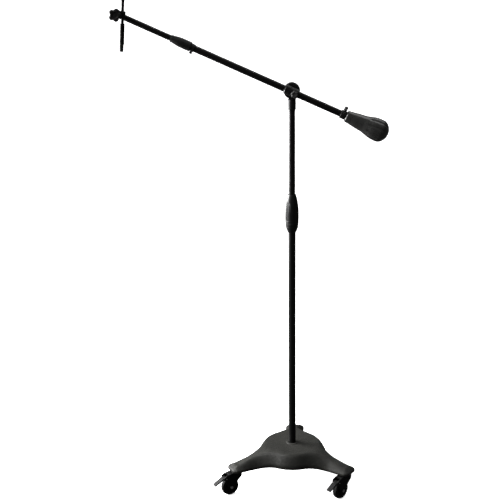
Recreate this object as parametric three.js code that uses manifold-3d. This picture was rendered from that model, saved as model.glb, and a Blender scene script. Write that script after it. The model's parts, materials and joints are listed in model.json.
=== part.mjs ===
// Studio boom microphone stand: a weighted three-legged base on braked casters,
// a two-section mast with a hand clutch, and a telescopic boom that tilts on a
// disc joint, carries a sliding counterweight at the rear and a short vertical
// threaded rod, the mini boom, at the tip.
// Millimetres, +Z up. The boom lies in the XZ plane, its tip towards -X.

import * as THREE from 'three';
import { mergeVertices } from 'three/addons/utils/BufferGeometryUtils.js';
import Module from 'manifold-3d';

const wasm = await Module();
wasm.setup();

// ---------------------------------------------------------------- dimensions

const GAP = 0.3;
const FINE = 24;
const ROUND = 16;
const SMALL = 10;
const HEXAGON = 6;

// base casting
const DISC_RADIUS = 140;
const BASE_TOP = 169;
const BASE_UNDERSIDE = 113;
const LEG_TOP = 126;
const LEG_UNDERSIDE = 103;
const LEG_LENGTH = 285;
const LEG_HALF_WIDTH = 39.5;
const LEG_FILLET = 120;
const LEG_CORNER = 22;
const LEG_SLOPE_START = 120;
const UNDERSIDE_SLOPE_END = 185;
const CROWN_WIDTH = 32;
const CROWN_DROP = 36;
const RIM_HEIGHT = 10;
const BOLT_RECESS = { radius: 24, top: 141 };
const LEG_ANGLES = { back: 90, left: 210, right: 330 };

// casters, in their own frame: stem on the origin, wheel trailing towards +X
const CASTER_RADIUS = 257;
const CASTER_TRAIL_ANGLES = { back: 220, left: 213, right: 228 };
const STEM_PIN_RADIUS = 6;
const STEM_PIN_TOP = 118;
const STEM_FLANGE_RADIUS = 17;
const KING_PIN_RADIUS = 5;
const FORK_TOP = 99;
const FORK_PLATE = 12;
const PLATE_END = 44;
const SLOT_REACH = 40;
const FORK_HALF_WIDTH = 16.5;
const WHEEL_TRAIL = 32;
const WHEEL_RADIUS = 37.5;
const WHEEL_HALF_WIDTH = 11;
const HUB_RADIUS = 27;
const AXLE_RADIUS = 4;
const PEDAL_PIVOT = { x: 54, z: 79 };
const PEDAL_PIN_RADIUS = 2.5;
const PEDAL_TIP_X = 104;
const PEDAL_TIP_Z = 54;

// mast
const LOWER_TUBE = { outer: 14.5, inner: 13.2, foot: 150, top: 1145 };
const UPPER_TUBE = { outer: 12.7, inner: 11.2, foot: 720, top: 1580 };
const MAST_BOLT_RADIUS = 6;
const CLUTCH_FOOT = 1078;
const CLUTCH_SPLIT = 1118;
const CLUTCH_TOP = 1232;

// boom head, on the mast axis
const PIVOT_HEIGHT = 1638;
const HEAD_DISC_RADIUS = 31;
const HEAD_SOCKET = { radius: 15.5, foot: 1565, top: 1606 };
const HEAD_DISC_FRONT = 2.2;
const HEAD_DISC_BACK = 14;
const PIVOT_STUD_RADIUS = 5;
const THREAD_STUD_RADIUS = 7.9;

// boom, in its own frame: pivot on the origin, +X towards the counterweight
const BOOM_ELEVATION = THREE.MathUtils.degToRad(24);
const BOOM_Y = -26;
const OUTER_BOOM = { outer: 12.7, inner: 11.5, front: -455, rear: 330 };
const INNER_BOOM = { outer: 11.1, inner: 9.8, front: -695, rear: -200 };
const CLAMP_RADIUS = 18.5;
const CLAMP_HALF_LENGTH = 28;
const COLLAR = { radius: 18.4, front: -497, step: -455, rear: -415, neck: -400 };
const WEIGHT_COLLAR = { radius: 16.5, front: 204, step: 226, rear: 250 };
const WEIGHT_BORE_END = 385;
const WEIGHT_END = 401;

// mini boom at the tip
const TIP_X = -717;
const TIP_DISC_RADIUS = 17;
const TIP_TONGUE_HALF = 6;
const TIP_JAW_DEPTH = 17;
const TIP_SHOULDER_RADIUS = 12;
const TIP_CLAMP_HALF_HEIGHT = 14;
const ROD_OFFSET = 25;
const MINI_BOOM_LEAN = THREE.MathUtils.degToRad(4);
const ROD_RADIUS = 6;
const SLEEVE_RADIUS = 9.5;
const ROD_TOP = 52;
const SLEEVE_TOP = -31;
const SLEEVE_FOOT = -106;
const STUD_FOOT = -136;

// ----------------------------------------------------------------- materials

const finish = (color, roughness, metalness) => () =>
  new THREE.MeshStandardMaterial({ color, roughness, metalness });

const castIron = finish(0x32322f, 0.55, 0.3);
const blackTube = finish(0x141414, 0.35, 0.5);
const blackPlastic = finish(0x0e0e0e, 0.5, 0.0);
const blackRubber = finish(0x121212, 0.8, 0.0);
const weightPaint = finish(0x2b2b2a, 0.4, 0.3);
const steel = finish(0x8d8f90, 0.3, 1.0);
const greyKnob = finish(0x4a4a48, 0.45, 0.2);

// ------------------------------------------------------------------- shaping

// A closed geometry as a manifold solid, for cutting and joining.
function solid(geometry) {
  const bare = geometry.clone();
  bare.deleteAttribute('normal');
  bare.deleteAttribute('uv');
  const merged = mergeVertices(bare, 1e-4);
  const mesh = new wasm.Mesh({
    numProp: 3,
    vertProperties: new Float32Array(merged.attributes.position.array),
    triVerts: new Uint32Array(merged.index.array),
  });
  return new wasm.Manifold(mesh);
}

function toGeometry(manifold) {
  const mesh = manifold.getMesh();
  const geometry = new THREE.BufferGeometry();
  geometry.setAttribute('position', new THREE.BufferAttribute(mesh.vertProperties, 3));
  geometry.setIndex(new THREE.BufferAttribute(mesh.triVerts, 1));
  geometry.computeVertexNormals();
  return geometry;
}

function join(...geometries) {
  const solids = geometries.map(solid);
  return toGeometry(solids.reduce((whole, next) => whole.add(next)));
}

function cut(geometry, ...tools) {
  return toGeometry(tools.map(solid).reduce((rest, tool) => rest.subtract(tool), solid(geometry)));
}

// A profile of [radius, height] pairs turned about Z. The pairs run from the
// foot, up the outside and back down the inside, or start and end on the axis.
function turned(profile, segments = ROUND) {
  const points = profile.map(([r, h]) => new THREE.Vector2(r, h));
  if (profile[0][0] > 0) {
    points.push(points[0].clone());
  }
  return new THREE.LatheGeometry(points, segments).rotateX(Math.PI / 2);
}

function cylinder(radius, low, high, segments = ROUND) {
  return turned([[0, low], [radius, low], [radius, high], [0, high]], segments);
}

function ring(outer, inner, low, high, segments = ROUND) {
  return turned([[inner, low], [outer, low], [outer, high], [inner, high]], segments);
}

const alongX = (geometry) => geometry.rotateY(Math.PI / 2);
const alongY = (geometry) => geometry.rotateX(-Math.PI / 2);
const flipped = (geometry) => geometry.rotateX(Math.PI);

function block(low, high) {
  const size = high.map((value, axis) => value - low[axis]);
  const middle = high.map((value, axis) => (value + low[axis]) / 2);
  return new THREE.BoxGeometry(...size).translate(...middle);
}

// An outline drawn in X and Z, as thick as the span between two Y values.
function slabY(shape, low, high, curveSegments = 8) {
  const options = { depth: high - low, bevelEnabled: false, curveSegments };
  return new THREE.ExtrudeGeometry(shape, options).rotateX(Math.PI / 2).translate(0, high, 0);
}

// The outline of a hand knob with rounded lobes.
function lobedOutline(radius, depth, lobes, pointsPerLobe = 6) {
  const count = lobes * pointsPerLobe;
  const points = [];
  for (let i = 0; i < count; i += 1) {
    const angle = (2 * Math.PI * i) / count;
    const reach = radius - (depth / 2) * (1 - Math.cos(lobes * angle));
    points.push(new THREE.Vector2(reach * Math.cos(angle), reach * Math.sin(angle)));
  }
  return new THREE.Shape(points);
}

function mesh(name, geometry, material) {
  const piece = new THREE.Mesh(geometry, material());
  piece.name = name;
  return piece;
}

const stand = new THREE.Group();

// ---------------------------------------------------------------------- base

// Plan of the casting: a disc with three legs, blended in by concave fillets.
function baseOutline() {
  const shape = new THREE.Shape();
  const fillet = LEG_FILLET;
  const across = LEG_HALF_WIDTH + fillet;
  const along = Math.sqrt((DISC_RADIUS + fillet) ** 2 - across ** 2);
  const blend = Math.atan2(across, along);
  const half = Math.PI / 2;
  for (const degrees of Object.values(LEG_ANGLES)) {
    const leg = THREE.MathUtils.degToRad(degrees);
    const turn = new THREE.Matrix3().makeRotation(leg);
    const at = (x, y) => new THREE.Vector2(x, y).applyMatrix3(turn);
    const before = at(along, -across);
    const after = at(along, across);
    const corner = LEG_LENGTH - LEG_CORNER;
    const side = LEG_HALF_WIDTH - LEG_CORNER;
    const outerRight = at(corner, -side);
    const outerLeft = at(corner, side);
    shape.absarc(0, 0, DISC_RADIUS, leg - Math.PI * (2 / 3) + blend, leg - blend, false);
    shape.absarc(before.x, before.y, fillet, leg + Math.PI - blend, leg + half, true);
    shape.absarc(outerRight.x, outerRight.y, LEG_CORNER, leg - half, leg, false);
    shape.absarc(outerLeft.x, outerLeft.y, LEG_CORNER, leg, leg + half, false);
    shape.absarc(after.x, after.y, fillet, leg - half, leg - Math.PI + blend, true);
  }
  return shape;
}

function casterAt(name) {
  const angle = THREE.MathUtils.degToRad(LEG_ANGLES[name]);
  return [CASTER_RADIUS * Math.cos(angle), CASTER_RADIUS * Math.sin(angle)];
}

const OUTLINE_STEPS = 3;
const UNDER_RINGS = [0, 0.6, 0.82, 1];
const TOP_RINGS = [1, 0.97, 0.92, 0.85, 0.75, 0.5, 0];

// Height of a surface that is level to the start of the legs, then slopes down.
function legSlope(radius, level, low, slopeEnd) {
  const share = (radius - LEG_SLOPE_START) / (slopeEnd - LEG_SLOPE_START);
  return level + (low - level) * THREE.MathUtils.clamp(share, 0, 1);
}

function undersideHeight(radius) {
  return legSlope(radius, BASE_UNDERSIDE, LEG_UNDERSIDE, UNDERSIDE_SLOPE_END);
}

function distanceToOutline(point, outline) {
  const edge = new THREE.Line3();
  const nearest = new THREE.Vector3();
  const here = new THREE.Vector3(point.x, point.y, 0);
  return Math.min(...outline.map((corner, index) => {
    const next = outline[(index + 1) % outline.length];
    edge.set(new THREE.Vector3(corner.x, corner.y, 0), new THREE.Vector3(next.x, next.y, 0));
    return edge.closestPointToPoint(here, true, nearest).distanceTo(here);
  }));
}

// The top falls away by a quarter wave along the whole edge, but not below the rim.
function topHeight(point, outline) {
  const radius = point.length();
  const level = legSlope(radius, BASE_TOP, LEG_TOP, LEG_LENGTH - LEG_CORNER);
  const edge = Math.max(level - CROWN_DROP, undersideHeight(radius) + RIM_HEIGHT);
  const inward = Math.min(distanceToOutline(point, outline) / CROWN_WIDTH, 1);
  return level - (level - edge) * (1 - Math.sin((inward * Math.PI) / 2));
}

// A disc-like lathe of unit radius, drawn out to the casting's outline.
function baseBlank() {
  const outline = baseOutline().getPoints(OUTLINE_STEPS).slice(0, -1);
  const under = UNDER_RINGS.map((share) => new THREE.Vector2(share, -1));
  const over = TOP_RINGS.map((share) => new THREE.Vector2(share, 1));
  const rings = [...under, ...over];
  const blank = new THREE.LatheGeometry(rings, outline.length).rotateX(Math.PI / 2);
  const places = blank.attributes.position;
  for (let index = 0; index < places.count; index += 1) {
    const { x: share, y: side } = rings[index % rings.length];
    const ray = Math.floor(index / rings.length) % outline.length;
    const point = outline[ray].clone().multiplyScalar(share);
    const height = side > 0 ? topHeight(point, outline) : undersideHeight(point.length());
    places.setXYZ(index, point.x, point.y, height);
  }
  return blank;
}

function baseCasting() {
  const holes = Object.keys(LEG_ANGLES).map((name) => {
    const [x, y] = casterAt(name);
    const radius = STEM_PIN_RADIUS + GAP;
    return cylinder(radius, LEG_UNDERSIDE - 1, STEM_PIN_TOP + 1, SMALL).translate(x, y, 0);
  });
  return cut(
    baseBlank(),
    cylinder(LOWER_TUBE.outer + GAP, LOWER_TUBE.foot, BASE_TOP + 1),
    cylinder(MAST_BOLT_RADIUS + GAP, BASE_UNDERSIDE, LOWER_TUBE.foot + 1, SMALL),
    cylinder(BOLT_RECESS.radius, BASE_UNDERSIDE - 1, BOLT_RECESS.top),
    ...holes,
  );
}

stand.add(mesh('base_casting', baseCasting(), castIron));

const MAST_WASHER = { radius: 16, thickness: 2.5 };
const BOLT_HEAD = { radius: 10.5, height: 8 };
const BOLT_TOP = 176;
const washerTop = BOLT_RECESS.top - GAP;
const washerFoot = washerTop - MAST_WASHER.thickness;
const boltSeat = washerFoot - GAP;

stand.add(mesh('mast_washer', ring(
  MAST_WASHER.radius,
  MAST_BOLT_RADIUS + GAP,
  washerFoot,
  washerTop,
), steel));

stand.add(mesh('mast_bolt', join(
  cylinder(BOLT_HEAD.radius, boltSeat - BOLT_HEAD.height, boltSeat, HEXAGON),
  cylinder(MAST_BOLT_RADIUS, boltSeat - 1, BOLT_TOP, SMALL),
), steel));

stand.add(mesh('mast_foot_plug', ring(
  LOWER_TUBE.inner - GAP,
  MAST_BOLT_RADIUS + GAP,
  LOWER_TUBE.foot + GAP,
  BOLT_TOP + 6,
), steel));

// ------------------------------------------------------------------- casters

// Side view of the fork: each row is the control point and the end of a curve,
// from the rear of the top plate round the pedal boss and the axle boss.
const FORK_CURVES = [
  [46, 97, 61, 87],
  [66, 78, 60, 71],
  [53, 54, 44, 33],
  [WHEEL_TRAIL, 18, 20, 33],
  [5, 60, -15, 76],
  [-19, 84, -STEM_FLANGE_RADIUS, FORK_TOP],
];

function forkOutline() {
  const shape = new THREE.Shape();
  shape.moveTo(-STEM_FLANGE_RADIUS, FORK_TOP);
  shape.lineTo(STEM_FLANGE_RADIUS, FORK_TOP);
  FORK_CURVES.forEach((row) => shape.quadraticCurveTo(...row));
  return shape;
}

function casterFork() {
  const slotHalf = WHEEL_HALF_WIDTH + 1;
  const through = FORK_HALF_WIDTH + 1;
  const axleHole = alongY(cylinder(AXLE_RADIUS + GAP, -through, through, SMALL));
  const pinHole = alongY(cylinder(PEDAL_PIN_RADIUS + GAP, -through, through, SMALL));
  return cut(
    slabY(forkOutline(), -FORK_HALF_WIDTH, FORK_HALF_WIDTH, 3),
    block([-SLOT_REACH, -slotHalf, 0], [PLATE_END, slotHalf, FORK_TOP - FORK_PLATE]),
    block([PLATE_END, -slotHalf, 0], [SLOT_REACH * 2, slotHalf, FORK_TOP]),
    cylinder(KING_PIN_RADIUS + GAP, FORK_TOP - FORK_PLATE - 1, FORK_TOP + 1, SMALL),
    axleHole.translate(WHEEL_TRAIL, 0, WHEEL_RADIUS),
    pinHole.translate(PEDAL_PIVOT.x, 0, PEDAL_PIVOT.z),
  );
}

const KING_PIN_HEAD = { radius: 8.5, height: 3.5 };

// Flange against the leg, a pin up into it and a headed king pin below it.
function casterStem() {
  const plateFoot = FORK_TOP - FORK_PLATE;
  const headFoot = plateFoot - GAP - KING_PIN_HEAD.height;
  const flangeFoot = FORK_TOP + GAP;
  const flangeTop = LEG_UNDERSIDE - GAP;
  return turned([
    [0, headFoot],
    [KING_PIN_HEAD.radius, headFoot],
    [KING_PIN_HEAD.radius, plateFoot - GAP],
    [KING_PIN_RADIUS, plateFoot - GAP],
    [KING_PIN_RADIUS, flangeFoot],
    [STEM_FLANGE_RADIUS, flangeFoot],
    [STEM_FLANGE_RADIUS, flangeTop],
    [STEM_PIN_RADIUS, flangeTop],
    [STEM_PIN_RADIUS, STEM_PIN_TOP],
    [0, STEM_PIN_TOP],
  ], SMALL);
}

const AXLE_HEAD = { radius: 6.5, height: 3 };

function casterAxle() {
  const cheek = FORK_HALF_WIDTH + GAP;
  const end = cheek + AXLE_HEAD.height;
  return alongY(turned([
    [0, -end],
    [AXLE_HEAD.radius, -end],
    [AXLE_HEAD.radius, -cheek],
    [AXLE_RADIUS, -cheek],
    [AXLE_RADIUS, cheek],
    [AXLE_HEAD.radius, cheek],
    [AXLE_HEAD.radius, end],
    [0, end],
  ], SMALL));
}

function casterHub() {
  const bore = AXLE_RADIUS + GAP;
  const face = WHEEL_HALF_WIDTH - 0.5;
  return alongY(turned([
    [bore, -face],
    [9, -face],
    [12, -face + 3],
    [HUB_RADIUS, -face + 1],
    [HUB_RADIUS, face - 1],
    [12, face - 3],
    [9, face],
    [bore, face],
  ], ROUND));
}

// Turned by half a facet, so that a flat of the tread rests on the floor.
function casterTyre() {
  const inner = HUB_RADIUS + GAP;
  return alongY(turned([
    [inner, -WHEEL_HALF_WIDTH],
    [WHEEL_RADIUS - 3, -WHEEL_HALF_WIDTH],
    [WHEEL_RADIUS, -WHEEL_HALF_WIDTH + 5],
    [WHEEL_RADIUS, WHEEL_HALF_WIDTH - 5],
    [WHEEL_RADIUS - 3, WHEEL_HALF_WIDTH],
    [inner, WHEEL_HALF_WIDTH],
  ], FINE)).rotateY(Math.PI / FINE);
}

// Foot lever over the wheel: hooked round its pin, then a flat tread.
function brakePedal() {
  const shape = new THREE.Shape();
  const { x, z } = PEDAL_PIVOT;
  shape.moveTo(x - 6, z);
  shape.quadraticCurveTo(x - 6, z - 5, x + 1, z - 5.5);
  shape.lineTo(x + 12, z - 7);
  shape.lineTo(PEDAL_TIP_X - 3, PEDAL_TIP_Z);
  shape.quadraticCurveTo(PEDAL_TIP_X + 1, PEDAL_TIP_Z, PEDAL_TIP_X, PEDAL_TIP_Z + 5);
  shape.lineTo(x + 16, z);
  shape.quadraticCurveTo(x + 4, z + 6, x, z + 6);
  shape.quadraticCurveTo(x - 6, z + 5, x - 6, z);
  const half = WHEEL_HALF_WIDTH + 0.4;
  const hole = alongY(cylinder(PEDAL_PIN_RADIUS + GAP, -half - 1, half + 1, SMALL));
  return cut(slabY(shape, -half, half, 4), hole.translate(x, 0, z));
}

for (const name of Object.keys(LEG_ANGLES)) {
  const [x, y] = casterAt(name);
  const pinHalf = FORK_HALF_WIDTH + 0.8;
  const caster = new THREE.Group();
  caster.position.set(x, y, 0);
  caster.rotation.z = THREE.MathUtils.degToRad(CASTER_TRAIL_ANGLES[name]);
  const atAxle = (geometry) => geometry.translate(WHEEL_TRAIL, 0, WHEEL_RADIUS);
  const atPin = (geometry) => geometry.translate(PEDAL_PIVOT.x, 0, PEDAL_PIVOT.z);
  caster.add(mesh(`caster_stem_${name}`, casterStem(), steel));
  caster.add(mesh(`caster_fork_${name}`, casterFork(), blackPlastic));
  caster.add(mesh(`caster_axle_${name}`, atAxle(casterAxle()), steel));
  caster.add(mesh(`caster_hub_${name}`, atAxle(casterHub()), blackPlastic));
  caster.add(mesh(`caster_tyre_${name}`, atAxle(casterTyre()), blackRubber));
  caster.add(mesh(`brake_pedal_${name}`, brakePedal(), blackPlastic));
  const pin = alongY(cylinder(PEDAL_PIN_RADIUS, -pinHalf, pinHalf, SMALL));
  caster.add(mesh(`pedal_pin_${name}`, atPin(pin), steel));
  stand.add(caster);
}

// ---------------------------------------------------------------------- mast

stand.add(mesh('lower_tube', ring(
  LOWER_TUBE.outer,
  LOWER_TUBE.inner,
  LOWER_TUBE.foot + GAP,
  LOWER_TUBE.top,
), blackTube));

stand.add(mesh('upper_tube', ring(
  UPPER_TUBE.outer,
  UPPER_TUBE.inner,
  UPPER_TUBE.foot + GAP,
  UPPER_TUBE.top - GAP,
), blackTube));

stand.add(mesh('upper_tube_guide', turned([
  [0, UPPER_TUBE.foot - 10],
  [LOWER_TUBE.inner - GAP, UPPER_TUBE.foot - 10],
  [LOWER_TUBE.inner - GAP, UPPER_TUBE.foot],
  [UPPER_TUBE.inner - GAP, UPPER_TUBE.foot],
  [UPPER_TUBE.inner - GAP, UPPER_TUBE.foot + 25],
  [0, UPPER_TUBE.foot + 25],
]), blackPlastic));

// Lower clutch cup on the outer tube, with the neck that the grip screws on.
const NECK_RADIUS = 19;
const NECK_TOP = 1150;
const tubeSeat = LOWER_TUBE.outer + GAP;
const slideBore = UPPER_TUBE.outer + 2 * GAP;

stand.add(mesh('clutch_body', turned([
  [tubeSeat, CLUTCH_FOOT],
  [15.6, CLUTCH_FOOT],
  [17.5, CLUTCH_FOOT + 3],
  [21.5, CLUTCH_FOOT + 14],
  [25.2, CLUTCH_FOOT + 30],
  [26, CLUTCH_SPLIT],
  [NECK_RADIUS, CLUTCH_SPLIT],
  [NECK_RADIUS, NECK_TOP],
  [slideBore, NECK_TOP],
  [slideBore, LOWER_TUBE.top + GAP],
  [tubeSeat, LOWER_TUBE.top + GAP],
], FINE), blackPlastic));

stand.add(mesh('clutch_collet', turned([
  [slideBore, NECK_TOP + GAP],
  [18.4, NECK_TOP + GAP],
  [16.2, NECK_TOP + 30],
  [slideBore, NECK_TOP + 30],
]), blackPlastic));

stand.add(mesh('clutch_grip', turned([
  [NECK_RADIUS + GAP, CLUTCH_SPLIT + GAP],
  [26.2, CLUTCH_SPLIT + GAP],
  [26.7, CLUTCH_SPLIT + 20],
  [26.6, CLUTCH_SPLIT + 40],
  [25.6, CLUTCH_SPLIT + 60],
  [23.6, CLUTCH_SPLIT + 78],
  [20, CLUTCH_SPLIT + 98],
  [15.4, CLUTCH_TOP],
  [slideBore, CLUTCH_TOP],
  [slideBore, NECK_TOP + 40],
  [17.2, NECK_TOP + 33],
  [NECK_RADIUS + GAP, NECK_TOP + 6],
], FINE), blackRubber));

stand.add(mesh('mast_spigot', turned([
  [0, UPPER_TUBE.top - 25],
  [UPPER_TUBE.inner - GAP, UPPER_TUBE.top - 25],
  [UPPER_TUBE.inner - GAP, UPPER_TUBE.top],
  [UPPER_TUBE.outer, UPPER_TUBE.top],
  [UPPER_TUBE.outer, UPPER_TUBE.top + 3],
  [THREAD_STUD_RADIUS, UPPER_TUBE.top + 3],
  [THREAD_STUD_RADIUS, UPPER_TUBE.top + 20],
  [0, UPPER_TUBE.top + 20],
]), steel));

// ----------------------------------------------------------------- boom head

function headBracket() {
  const { radius, foot, top } = HEAD_SOCKET;
  const socket = turned([
    [0, foot],
    [radius - 1, foot],
    [radius, foot + 3],
    [radius, top - 2],
    [radius - 2, top],
    [0, top],
  ]);
  const neck = block([-13, HEAD_DISC_FRONT, top - 14], [13, HEAD_DISC_BACK, PIVOT_HEIGHT]);
  const disc = alongY(cylinder(HEAD_DISC_RADIUS, HEAD_DISC_FRONT, HEAD_DISC_BACK, FINE));
  const hole = alongY(cylinder(PIVOT_STUD_RADIUS + GAP, 0, HEAD_DISC_BACK + 1, SMALL));
  return cut(
    join(socket, neck, disc.translate(0, 0, PIVOT_HEIGHT)),
    cylinder(UPPER_TUBE.outer + GAP, foot - 1, UPPER_TUBE.top + 3 + GAP),
    cylinder(THREAD_STUD_RADIUS + GAP, foot, UPPER_TUBE.top + 20 + GAP),
    hole.translate(0, 0, PIVOT_HEIGHT),
  );
}

stand.add(mesh('head_bracket', headBracket(), blackPlastic));

const head = new THREE.Group();
head.position.z = PIVOT_HEIGHT;
stand.add(head);

const WASHER_FRONT = HEAD_DISC_BACK + GAP;
const PIVOT_WASHER = { radius: 12, thickness: 2.5 };
const washerBack = WASHER_FRONT + PIVOT_WASHER.thickness;
const KNOB_FRONT = washerBack + GAP;
const STUD_BACK = 38;

head.add(mesh('pivot_washer', alongY(
  ring(PIVOT_WASHER.radius, PIVOT_STUD_RADIUS + GAP, WASHER_FRONT, washerBack),
), steel));

const PIVOT_KNOB = { radius: 24, lobeDepth: 5, lobes: 5, hubRadius: 13, hubDepth: 7, depth: 24 };

function pivotKnob() {
  const { radius, lobeDepth, lobes, hubRadius, hubDepth, depth } = PIVOT_KNOB;
  const outline = lobedOutline(radius, lobeDepth, lobes);
  const grip = slabY(outline, KNOB_FRONT + hubDepth, KNOB_FRONT + depth);
  const hub = alongY(cylinder(hubRadius, KNOB_FRONT, KNOB_FRONT + hubDepth + 1));
  const hole = alongY(cylinder(PIVOT_STUD_RADIUS + GAP, KNOB_FRONT - 1, STUD_BACK + GAP, SMALL));
  return cut(join(grip, hub), hole);
}

head.add(mesh('pivot_knob', pivotKnob(), blackPlastic));

// ---------------------------------------------------------------------- boom

const boom = new THREE.Group();
boom.position.z = PIVOT_HEIGHT;
boom.rotation.y = BOOM_ELEVATION;
stand.add(boom);

const onBoomAxis = (geometry) => alongX(geometry).translate(0, BOOM_Y, 0);
const CLAMP_DISC_BACK = HEAD_DISC_FRONT - 0.5;
const STUD_FRONT = -7;
const CLAMP_DISC_FRONT = -11;
const LOCK_X = 14;
const LOCK_SHANK_RADIUS = 4;
const LOCK_BOSS = { radius: 10, height: 1.5 };
const LOCK_KNOB = { radius: 13, lobeDepth: 2.4, lobes: 6, depth: 15 };
const lockFront = BOOM_Y - CLAMP_RADIUS - LOCK_BOSS.height;

function boomClamp() {
  const length = CLAMP_HALF_LENGTH;
  const housing = onBoomAxis(turned([
    [0, -length],
    [CLAMP_RADIUS - 2, -length],
    [CLAMP_RADIUS, -length + 3],
    [CLAMP_RADIUS, length - 3],
    [CLAMP_RADIUS - 2, length],
    [0, length],
  ]));
  const disc = alongY(cylinder(HEAD_DISC_RADIUS, CLAMP_DISC_FRONT, CLAMP_DISC_BACK, FINE));
  const boss = alongY(cylinder(LOCK_BOSS.radius, lockFront, BOOM_Y)).translate(LOCK_X, 0, 0);
  const screwHole = alongY(cylinder(LOCK_SHANK_RADIUS + GAP, lockFront - 1, BOOM_Y, SMALL));
  return cut(
    join(housing, disc, boss),
    onBoomAxis(cylinder(OUTER_BOOM.outer + GAP, -length - 1, length + 1)),
    screwHole.translate(LOCK_X, 0, 0),
    alongY(cylinder(PIVOT_STUD_RADIUS + GAP, STUD_FRONT - GAP, CLAMP_DISC_BACK + 1, SMALL)),
  );
}

boom.add(mesh('boom_clamp', boomClamp(), blackPlastic));

boom.add(mesh('pivot_stud', alongY(
  cylinder(PIVOT_STUD_RADIUS, STUD_FRONT, STUD_BACK, SMALL),
), steel));

// Knob whose screw presses on the boom tube through the front of the clamp.
function boomLockKnob() {
  const { radius, lobeDepth, lobes, depth } = LOCK_KNOB;
  const back = lockFront - GAP;
  const tip = BOOM_Y - OUTER_BOOM.outer - GAP;
  const grip = slabY(lobedOutline(radius, lobeDepth, lobes, 4), back - depth, back);
  const shank = alongY(cylinder(LOCK_SHANK_RADIUS, back - 1, tip, SMALL));
  return join(grip, shank).translate(LOCK_X, 0, 0);
}

boom.add(mesh('boom_lock_knob', boomLockKnob(), greyKnob));

// A thumb screw standing on +Z: shank from its tip up to the seat, then the head.
function thumbScrew(tip, seat, headRadius, headHeight) {
  const shank = 3;
  return turned([
    [0, tip],
    [shank, tip],
    [shank, seat],
    [headRadius - 1, seat],
    [headRadius, seat + 1.5],
    [headRadius, seat + headHeight - 1.5],
    [headRadius - 1, seat + headHeight],
    [0, seat + headHeight],
  ], SMALL);
}

const SCREW_HOLE = 3 + GAP;
const COLLAR_SCREW_X = -407.5;
const COLLAR_NECK_RADIUS = 15.2;
const collarScrewHole = () =>
  flipped(cylinder(SCREW_HOLE, 5, 30, SMALL)).translate(COLLAR_SCREW_X, BOOM_Y, 0);

boom.add(mesh('boom_outer_tube', cut(
  onBoomAxis(ring(OUTER_BOOM.outer, OUTER_BOOM.inner, OUTER_BOOM.front, OUTER_BOOM.rear)),
  collarScrewHole(),
), blackTube));

boom.add(mesh('boom_end_plug', onBoomAxis(turned([
  [0, OUTER_BOOM.rear - 20],
  [OUTER_BOOM.inner - GAP, OUTER_BOOM.rear - 20],
  [OUTER_BOOM.inner - GAP, OUTER_BOOM.rear + GAP],
  [OUTER_BOOM.outer, OUTER_BOOM.rear + GAP],
  [OUTER_BOOM.outer, OUTER_BOOM.rear + 3],
  [0, OUTER_BOOM.rear + 3],
])), blackPlastic));

boom.add(mesh('boom_collar', cut(
  onBoomAxis(turned([
    [INNER_BOOM.outer + 2 * GAP, COLLAR.front],
    [12.8, COLLAR.front],
    [14.4, COLLAR.front + 6],
    [17.4, COLLAR.step - 12],
    [COLLAR.radius, COLLAR.step],
    [COLLAR.radius, COLLAR.rear - 2],
    [COLLAR.radius - 1.5, COLLAR.rear],
    [COLLAR_NECK_RADIUS, COLLAR.rear],
    [COLLAR_NECK_RADIUS, COLLAR.neck],
    [OUTER_BOOM.outer + GAP, COLLAR.neck],
    [OUTER_BOOM.outer + GAP, OUTER_BOOM.front - GAP],
    [INNER_BOOM.outer + 2 * GAP, OUTER_BOOM.front - GAP],
  ], FINE)),
  collarScrewHole(),
), blackPlastic));

boom.add(mesh('boom_collar_screw', flipped(
  thumbScrew(INNER_BOOM.outer + GAP, COLLAR_NECK_RADIUS + GAP, 6, 9),
).translate(COLLAR_SCREW_X, BOOM_Y, 0), greyKnob));

boom.add(mesh('boom_inner_tube', onBoomAxis(
  ring(INNER_BOOM.outer, INNER_BOOM.inner, INNER_BOOM.front, INNER_BOOM.rear),
), blackTube));

boom.add(mesh('inner_tube_guide', onBoomAxis(turned([
  [0, INNER_BOOM.rear - 20],
  [INNER_BOOM.inner - GAP, INNER_BOOM.rear - 20],
  [INNER_BOOM.inner - GAP, INNER_BOOM.rear + GAP],
  [OUTER_BOOM.inner - GAP, INNER_BOOM.rear + GAP],
  [OUTER_BOOM.inner - GAP, INNER_BOOM.rear + 8],
  [0, INNER_BOOM.rear + 8],
])), blackPlastic));

// ------------------------------------------------------------- counterweight

const weightBore = OUTER_BOOM.outer + 2 * GAP;
const WEIGHT_SCREW_X = 215;

boom.add(mesh('counterweight_collar', cut(
  onBoomAxis(turned([
    [weightBore, WEIGHT_COLLAR.front],
    [WEIGHT_COLLAR.radius - 1, WEIGHT_COLLAR.front],
    [WEIGHT_COLLAR.radius, WEIGHT_COLLAR.front + 2],
    [WEIGHT_COLLAR.radius, WEIGHT_COLLAR.step],
    [15, WEIGHT_COLLAR.step],
    [15, WEIGHT_COLLAR.rear],
    [weightBore, WEIGHT_COLLAR.rear],
  ])),
  cylinder(SCREW_HOLE, 5, 30, SMALL).translate(WEIGHT_SCREW_X, BOOM_Y, 0),
), blackPlastic));

boom.add(mesh('counterweight', onBoomAxis(turned([
  [15 + GAP, WEIGHT_COLLAR.step + GAP],
  [20, WEIGHT_COLLAR.step + GAP],
  [22.5, 230],
  [24.4, 247],
  [27.5, 264],
  [31.5, 298],
  [40.5, 330],
  [43, 348],
  [43.3, 368],
  [37, 383],
  [20, 396],
  [0, WEIGHT_END],
  [0, WEIGHT_BORE_END],
  [weightBore, WEIGHT_BORE_END],
  [weightBore, WEIGHT_COLLAR.rear + GAP],
  [15 + GAP, WEIGHT_COLLAR.rear + GAP],
], FINE)), weightPaint));

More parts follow.
